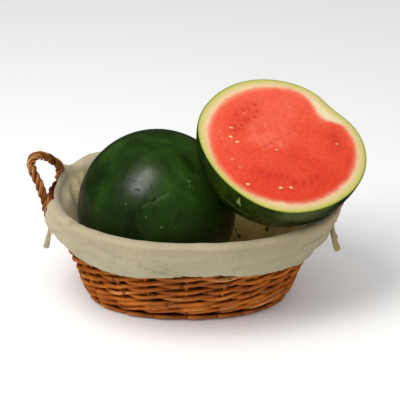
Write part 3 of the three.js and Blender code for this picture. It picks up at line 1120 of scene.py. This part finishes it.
whole_specks = (
    ((44.0, -68.9, 77.4), (48.2, -68.9, 74.9)), ((47.3, -72.6, 71.9), (47.3, -74.2, 70.3)),
    ((52.0, -72.7, 68.5), (52.7, -72.9, 67.7)), ((-10.6, -104.8, 39.7), (-10.2, -104.6, 40.3)),
    ((-37.6, -91.9, 53.0), (-37.2, -92.0, 53.2)),
)


def off_marks(away, marks):
    """How far a point, given from a melon's centre, is from the nearest of its marks. Each mark
    is a line through two points or more."""
    return min(
        off_stretch(away, Vector(start), Vector(end))
        for mark in marks for start, end in zip(mark, mark[1:])
    )


def select_faces(piece, wanted):
    """In edit mode, selects just the faces that pass a test."""
    bpy.ops.mesh.select_mode(type="FACE")
    bpy.ops.mesh.select_all(action="DESELECT")
    bm = bmesh.from_edit_mesh(piece.data)
    for face in bm.faces:
        if wanted(face):
            face.select_set(True)
    bmesh.update_edit_mesh(piece.data)


def melon_ball(name, centre, radius, segments, rings, pole, marks):
    """A ball of rind as the melons start from, its faces cut finer where it has marks."""
    select_only()
    bpy.ops.mesh.primitive_uv_sphere_add(
        segments=segments, ring_count=rings, radius=radius * MM, location=centre * MM,
        rotation=pole.to_track_quat("Z", "Y").to_euler(),
    )
    ball = bpy.context.object
    ball.name = name
    bpy.ops.object.transform_apply(location=True, rotation=True, scale=True)
    bpy.ops.object.mode_set(mode="EDIT")
    select_faces(
        ball, lambda face: off_marks(face.calc_center_median() / MM - centre, marks) < mark_margin,
    )
    bpy.ops.mesh.subdivide(number_cuts=3)
    bpy.ops.object.mode_set(mode="OBJECT")
    for vert in ball.data.vertices:
        vert.co = (centre + (vert.co / MM - centre).normalized() * radius) * MM
    return ball


def paint(piece, name, measure):
    """Gives every vertex of a piece a value, worked out from its place in millimetres."""
    layer = piece.data.attributes.new(name, "FLOAT", "POINT")
    for vert, cell in zip(piece.data.vertices, layer.data):
        cell.value = measure(vert.co / MM)


def paint_marks(piece, name, on_ball, *layers):
    """Paints marks that die away beside them: each layer has its strength, marks and width."""
    paint(piece, name, lambda spot: max(
        strength * hump(off_marks(on_ball(spot), marks), width) for strength, marks, width in layers
    ))


def bisect(point, normal):
    """In edit mode, cuts off all that lies past a plane, and closes the cut."""
    bpy.ops.mesh.select_all(action="SELECT")
    bpy.ops.mesh.bisect(
        plane_co=point * MM, plane_no=normal, use_fill=True, clear_outer=True, threshold=1e-6,
    )


def rind_material(name, centre, greens, scar_and_highlight, foot_painted_light, shine, nicked):
    """Green rind: cloudy lighter and darker patches and streaks, with small pale specks, scuffs and
    a shine that breaks up over them. Painted light and shade: paler on its crown, and scaled
    round its foot by a factor for each melon; on the half the scuff colour also paints a
    highlight line along its lower outline, and a greyer patch of painted sheen lies on its
    lower rind. Dark nicks and patches take the shine away."""
    made, shader, place = new_material(name)
    spot = mapped(place, Location=tuple(-value * MM for value in centre))
    drawn = mapped(spot, Rotation=(0.0, 0.5, 0.0), Scale=(1.0, 1.0, 0.45))
    patches = noise_node(drawn, 24.0, 4.0, 0.6, 0.5)
    broad = noise_node(spot, 7.5, 2.0)
    mottle = noise_node(spot, 90.0, 4.0)
    level = math_node("ADD", patches, scaled(broad, 0.9, -0.45))
    colour = ramp(level, *zip((0.30, 0.52, 0.74), greens))
    colour = tinted(0.7, colour, mottle, (0.35, (0.78, 0.80, 0.78)), (0.68, (1.2, 1.18, 1.1)))
    # Painted light: the colour is scaled by height, much paler on the crown and by each melon's own factor
    # round its foot.
    up = node(place, "SeparateXYZ", {"Vector": spot}).outputs["Z"]
    rise = scaled(scaled(broad, 0.05, up), 1 / 0.18, 0.36, True)
    waist = tuple(mix(value, 1.0, 0.5) for value in foot_painted_light)
    colour = tinted(1.0, colour, rise, (0.0, foot_painted_light), (0.50, waist), (1.0, (2.8, 1.8, 1.5)))
    cells = node(place, "TexVoronoi", {"Vector": spot, "Scale": 46.0}).outputs["Distance"]
    dots = ramp(cells, (0.06, 1.0), (0.11, 0.0))
    where = ramp(noise_node(spot, 24.0, 1.0), (0.63, 0.0), (0.68, 1.0))
    colour = mixed(scaled(dots, where), colour, (0.20, 0.24, 0.05))
    # Scuffs and specks, and on the half a painted highlight line along its lower outline.
    colour = mixed(painted(place, "scuff_and_highlight"), colour, scar_and_highlight)
    # Painted sheen: a greyer, paler patch for light reflected onto the half's lower rind.
    colour = mixed(painted(place, "painted_sheen"), colour, (0.064, 0.086, 0.024))
    if nicked:
        nick = painted(place, "nick")
        colour = mixed(nick, colour, (0.004, 0.010, 0.003))
        shine = scaled(nick, -shine, shine)
    film = noise_node(drawn, 60.0, 5.0, 0.7, 1.2)
    height = scaled(film, 0.07, noise_node(spot, 12.0, 2.0))
    feed(
        shader, Base_Color=colour, Roughness=ramp(film, (0.36, 0.21), (0.62, 0.38)),
        Normal=relief(height, 0.45, 0.006), Specular_IOR_Level=shine,
    )
    return made


whole = melon_ball(
    "whole_melon_rind", whole_centre, whole_radius, 240, 120, Vector((0, 0, 1)),
    whole_crease + whole_nicks + whole_scuffs + whole_specks,
)
for vert in whole.data.vertices:
    away = vert.co / MM - whole_centre
    off = off_marks(away, whole_crease)
    if off < 6:
        depth = crease_depth * hump(off, 2.0)
        vert.co = (whole_centre + away.normalized() * (whole_radius - depth)) * MM
bpy.ops.object.mode_set(mode="EDIT")
bisect(whole_centre + meeting_way * (whole_radius - whole_flat), meeting_way)
bpy.ops.object.mode_set(mode="OBJECT")
bpy.ops.object.shade_smooth_by_angle(angle=radians(12))


def on_whole(spot):
    return spot - whole_centre


paint_marks(whole, "scuff_and_highlight", on_whole, (0.20, whole_scuffs, 2.4), (0.8, whole_specks, 0.9))
paint_marks(
    whole, "nick", on_whole,
    (0.8, whole_crease, 1.1), (0.9, whole_nicks, 1.1), (0.65, whole_dark_patches, 8.5),
)
# Painted shade: the whole's rind is painted dark round its foot.
whole.data.materials.append(rind_material(
    "dark_rind", whole_centre,
    greens=((0.0022, 0.0112, 0.0014), (0.0057, 0.0245, 0.0026), (0.0096, 0.040, 0.0038)),
    scar_and_highlight=(0.12, 0.18, 0.05), foot_painted_light=(0.0, 0.24, 0.05), shine=0.30, nicked=True,
))
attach(whole, "root")
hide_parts("whole_melon")


# ------------
# Half melon. A watermelon of the same kind cut straight through: thick green
# rind, a pale band inside it, red flesh with its seeds, cut face up.
# ------------
face_normal = Vector((0.214, -0.422, 0.881)).normalized()
face_across = (Vector((1, 0, 0)) - face_normal * face_normal.x).normalized()
face_up = face_normal.cross(face_across)
face_rings = 56
edge_round = 1.6
knock_place = (45.0, 15.5, 8.0)
bulge_places = ((0.0, 30.0, 3.8), (-98.0, 24.0, 4.6), (175.0, 22.0, 3.2))
red_reach = 101.5
bay_middle = 46.0
bay_depth = 23.0
red_places = (
    (-125.0, 34.0, 3.6), (-45.0, 24.0, -2.4), (5.0, 16.0, 1.4), (120.0, 34.0, -4.4),
)
flat_reach = meeting.length - (whole_radius - whole_flat) - 0.3
half_scuffs = (
    ((-62.0, -86.3, -41.3), (-60.8, -82.7, -49.6)), ((-59.7, -89.3, -38.2), (-58.4, -83.0, -51.9)),
    ((-62.8, -82.6, -47.2), (-59.9, -86.7, -43.5)),
)
# Painted highlight: a thin line along the half's lower outline.
half_rim_highlight = (
    ((-82.3, -60.8, -50.1), (-73.7, -67.4, -55.0), (-59.2, -74.5, -62.8), (-44.7, -79.5, -68.4)),
)
# Painted sheen: where the half's lower rind shows light reflected from the cloth.
half_painted_sheen = (((4.6, -98.8, -56.7), (21.9, -94.0, -60.7), (52.8, -88.3, -49.1)),)
seed_rows = (
    (118, 176, 0.60, 7), (122, 172, 0.50, 6), (-122, -84, 0.54, 6), (-84, -46, 0.60, 7), (4, 22, 0.66, 3),
)


def on_face(across, up, height=0.0):
    return half_centre + face_across * across + face_up * up + face_normal * height


def face_turn(spot):
    """A point's turn round the cut face's middle in degrees, and its distance from it."""
    away = spot - half_centre
    across, up = away.dot(face_across), away.dot(face_up)
    return degrees(atan2(up, across)), hypot(across, up)


def degrees_off(turn, middle):
    """How far a turn is from a direction, in degrees from -180 to 180."""
    return (turn - middle + 180) % 360 - 180


def humps(turn, places):
    """The sum at a turn of soft humps, each with its turn, width and height."""
    return sum(height * hump(degrees_off(turn, middle), width) for middle, width, height in places)


def unevenness(turn, level):
    """How far the rind lies out from its ball: a knock at the upper right and three bulges along
    the cut edge, all gone some way down. The level is 0 at the cut and 1 at the bottom."""
    out = humps(turn, bulge_places) * max(0.0, 1 - 2.9 * level)
    return out - humps(turn, (knock_place,)) * max(0.0, 1 - 4.0 * level)


def flesh_reach(turn):
    """Where the red begins: nearly a circle, with a bay where the knock has stayed pale."""
    off = degrees_off(turn, bay_middle)
    width, power = (16.5, 2.0) if off > 0 else (14.5, 3.0)
    bay = bay_depth * exp(-abs(off / width) ** power)
    way = radians(turn)
    uneven = bumps(cos(way) * 9, sin(way) * 9, 2.1)
    return red_reach + humps(turn, red_places) - bay + uneven


pits = []
for first, last, share, count in seed_rows:
    for number in range(count):
        turn = mix(first, last, (number + chance.uniform(0.2, 0.8)) / count)
        reach = (share + chance.uniform(-0.03, 0.03)) * half_radius
        pits.append((turn, reach, chance.uniform(2.7, 3.8), chance.uniform(1.7, 2.4)))


def pit_depth(spot):
    """1 in the middle of a seed's dark hollow, 0 away from them."""
    turn, reach = face_turn(spot)
    deepest = 0.0
    for pit_turn, pit_reach, length, width in pits:
        along = (reach - pit_reach) / length
        if abs(along) > 2:
            continue
        aside = radians(degrees_off(turn, pit_turn)) * pit_reach / width
        deepest = max(deepest, exp(-(along * along + aside * aside)))
    return deepest


def seed_zone(spot):
    """1 in the deeper red round the seeds' rows, 0 away from them."""
    turn, reach = face_turn(spot)
    deepest = 0.0
    for first, last, share, _ in seed_rows:
        middle = first + (last - first) / 2
        past = abs(degrees_off(turn, middle)) - abs(last - first) / 2
        off = (reach / half_radius - share - 0.03) / 0.10
        deepest = max(deepest, exp(-off * off) * smoothstep(14.0, -4.0, past))
    ragged = 0.5 + 0.5 * bumps(spot.x * 0.14, spot.y * 0.14, 5.1)
    return deepest * mix(0.6, 1.0, ragged)


def height_on_face(spot):
    """0 at the cut face's lower edge, 1 at its upper one, rising towards the left; the red is painted
    lighter along it, as painted light.
    """
    away = spot - half_centre
    return 0.5 + (away.dot(face_up) - 0.35 * away.dot(face_across)) / (2.1 * half_radius)


def off_half_rind(spot):
    """How far inside its outline a point of the cut face lies, in metres."""
    turn, reach = face_turn(spot)
    return (half_radius + unevenness(turn, 0.0) - reach) * MM


def into_red(spot):
    """How far inside the red a point of the cut face lies, in metres."""
    turn, reach = face_turn(spot)
    return (flesh_reach(turn) - reach) * MM


def heart(spot):
    """1 in the paler heart of the flesh, 0 outside it."""
    away = spot - half_centre
    across = (away.dot(face_across) + 18.0) / 30.0
    up = (away.dot(face_up) - 11.0) / 27.0
    ragged = 0.35 * bumps(spot.x * 0.09, spot.y * 0.09, 3.3)
    return smoothstep(1.25, 0.75, hypot(across, up) + ragged)


def cut_line(spot):
    """1 on the crack that runs across the heart, 0 away from it."""
    wobble = 1.3 * bumps(spot.x * 0.12, spot.y * 0.12, 7.7)
    return hump(off_stretch(spot, on_face(-48.0, -29.6), on_face(14.0, 19.0)) + wobble, 1.3)


half = melon_ball(
    "half_melon_cut", half_centre, half_radius, 288, 120, face_normal, half_scuffs + half_rim_highlight
)
bpy.ops.object.mode_set(mode="EDIT")
bisect(half_centre, face_normal)
select_faces(half, lambda face: len(face.verts) > 20)
bpy.ops.mesh.bevel(offset=edge_round * MM, segments=3, affect="EDGES")
select_faces(half, lambda face: len(face.verts) > 20)
for ring in range(face_rings):
    bpy.ops.mesh.inset(thickness=(half_radius - edge_round) / (face_rings + 1) * MM)
bpy.ops.mesh.poke()
bpy.ops.mesh.select_all(action="SELECT")
bpy.ops.mesh.normals_make_consistent(inside=False)
bpy.ops.object.mode_set(mode="OBJECT")
bpy.ops.object.shade_smooth_by_angle(angle=radians(50))
for polygon in half.data.polygons:
    depth = (polygon.center / MM - half_centre).dot(face_normal)
    polygon.material_index = 0 if depth > -0.5 else 1
for vert in half.data.vertices:
    spot = vert.co / MM
    turn, reach = face_turn(spot)
    depth = (spot - half_centre).dot(face_normal)
    outwards = swung(face_across, face_up, radians(turn))
    level = asin(clamp(-depth / half_radius)) / (pi / 2)
    spot += outwards * unevenness(turn, level) * smoothstep(60.0, 112.0, hypot(reach, depth))
    away = spot - half_centre
    towards = away.dot(-meeting_way)
    if towards > flat_reach:
        spot = half_centre + away * (flat_reach / towards)
    vert.co = spot * MM
for name, measure in (
    ("from_rind", off_half_rind), ("into_red", into_red), ("pit", pit_depth), ("heart", heart),
    ("crack", cut_line), ("zone", seed_zone), ("high", height_on_face),
):
    paint(half, name, measure)


def on_half(spot):
    """A point of the half's rind, from its centre and as on a ball."""
    return (spot - half_centre).normalized() * half_radius


# Real scuffs, and the painted highlight line at a lower strength.
paint_marks(half, "scuff_and_highlight", on_half, (0.9, half_scuffs, 0.7), (0.3, half_rim_highlight, 0.8))
# Painted sheen on the half's lower rind.
paint_marks(half, "painted_sheen", on_half, (1.0, half_painted_sheen, 17.0))


def flesh_material():
    """The cut face: a thin dark skin, lime under it, a cream band with a soft pink edge, then
    moist red flesh, paler at its heart and darker round the seeds' hollows, painted lighter
    towards the face's upper left as painted light."""
    made, shader, place = new_material("cut_flesh")
    pit = painted(place, "pit")
    crack = painted(place, "crack")
    grain = noise_node(place, 230.0, 4.0, 0.6)
    slow = noise_node(place, 26.0, 3.0)
    fibre = noise_node(place, 75.0, 3.0, 0.6, 1.0)
    pale = ramp(
        scaled(painted(place, "from_rind"), 1 / 0.015),
        (0.0, (0.024, 0.050, 0.006)), (0.035, (0.11, 0.15, 0.013)), (0.11, (0.32, 0.35, 0.045)),
        (0.21, (0.48, 0.455, 0.100)), (0.36, (0.56, 0.49, 0.160)), (0.60, (0.64, 0.505, 0.235)),
        (0.95, (0.76, 0.62, 0.37)),
    )
    wavy = scaled(slow, 0.006, painted(place, "into_red"))
    wavy = scaled(fibre, 0.004, wavy)
    # Painted light: the red is lighter towards the face's upper left, mixed with slow patches.
    patches_and_painted_light = scaled(slow, 0.9, math_node("ADD", painted(place, "high"), -0.45))
    red = ramp(
        patches_and_painted_light,
        (0.20, (0.68, 0.042, 0.012)), (0.55, (0.75, 0.070, 0.026)), (0.90, (0.81, 0.108, 0.058)),
    )
    red = tinted(0.7, red, grain, (0.34, (0.86, 0.70, 0.66)), (0.66, (1.07, 1.25, 1.3)))
    mottled_core = ramp(fibre, (0.36, (0.72, 0.078, 0.034)), (0.64, (0.81, 0.148, 0.086)))
    for mask, strength, shade in (
        (painted(place, "heart"), 0.8, mottled_core), (painted(place, "zone"), 0.48, (0.58, 0.022, 0.008)),
        (pit, 0.70, (0.46, 0.015, 0.005)), (crack, 0.4, (0.52, 0.026, 0.010)),
    ):
        red = mixed(scaled(mask, strength), red, shade)
    soft = ramp(
        scaled(wavy, 1 / 0.012, 0.08, True),
        (0.0, 0.0), (0.28, 0.22), (0.60, 0.80), (1.0, 1.0),
    )
    height = scaled(fibre, 0.8, scaled(crack, -0.7, scaled(pit, -0.9, grain)))
    feed(
        shader, Base_Color=mixed(soft, pale, red),
        Roughness=scaled(grain, 0.25, 0.36), Normal=relief(height, 0.45, 0.0016),
        Specular_IOR_Level=0.35, Subsurface_Weight=0.10, Subsurface_Radius=(0.008, 0.003, 0.002),
        Subsurface_Scale=0.5,
    )
    return made


half.data.materials.append(flesh_material())
# Painted bounce light: the half's rind is painted lighter and greener round its foot.
half.data.materials.append(rind_material(
    "dark_rind_of_half", half_centre,
    greens=((0.0038, 0.0100, 0.0006), (0.0100, 0.0230, 0.0014), (0.024, 0.044, 0.004)),
    scar_and_highlight=(0.42, 0.44, 0.16), foot_painted_light=(1.15, 1.30, 0.8), shine=0.12, nicked=False,
))
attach(half, "root")
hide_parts("half_melon")


# ------------
# Seeds. Small, unripe seeds that the knife left in the cut face: a few are cream
# and the others are still under a skin of flesh.
# ------------
seed_places = (
    (-177, 0.63, 1.0), (-170, 0.56, 1.0), (-94.5, 0.69, 1.0), (-84, 0.67, 1.0), (-122, 0.83, 0.7),
    (170, 0.63, 0.5), (-121, 0.15, 0.4), (8, 0.68, 0.3), (-149, 0.72, 0.2), (-138, 0.70, 0.1),
    (141.5, 0.58, 0.1),
)
seed_half = (3.3, 2.1, 1.1)


def seed_material():
    """Cream with browner cloudy patches where a seed is bare, and orange red under flesh."""
    made, shader, place = new_material("pale_seed")
    cloud = noise_node(place, 300.0, 2.0)
    cream = ramp(cloud, (0.3, (0.80, 0.36, 0.14)), (0.7, (0.90, 0.64, 0.36)))
    covered = ramp(cloud, (0.3, (0.66, 0.060, 0.018)), (0.7, (0.76, 0.160, 0.055)))
    feed(shader, Base_Color=mixed(painted(place, "bare"), covered, cream), Roughness=0.35)
    return made


seeds = []
for turn, share, bare in seed_places:
    angle = radians(turn)
    swing = chance.uniform(-0.5, 0.5)
    size = chance.uniform(0.8, 1.0)
    select_only()
    bpy.ops.mesh.primitive_uv_sphere_add(segments=16, ring_count=10, radius=1.0)
    grain = bpy.context.object
    along = swung(face_across, face_up, swing)
    aside = face_normal.cross(along)
    spot = on_face(share * half_radius * cos(angle), share * half_radius * sin(angle))
    for vert in grain.data.vertices:
        local = vert.co.copy()
        pinch = 1.0 - 0.35 * max(0.0, local.x)
        vert.co = (
            spot + along * local.x * seed_half[0] * size
            + aside * local.y * seed_half[1] * size * pinch + face_normal * local.z * seed_half[2]
        ) * MM
    paint(grain, "bare", lambda spot: bare)
    seeds.append(grain)
select_only(*seeds)
bpy.ops.object.join()
bpy.ops.object.shade_smooth()
seed_piece = bpy.context.object
seed_piece.name = "half_melon_seeds"
seed_piece.data.materials.append(seed_material())
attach(seed_piece, "root")
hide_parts("half_melon")
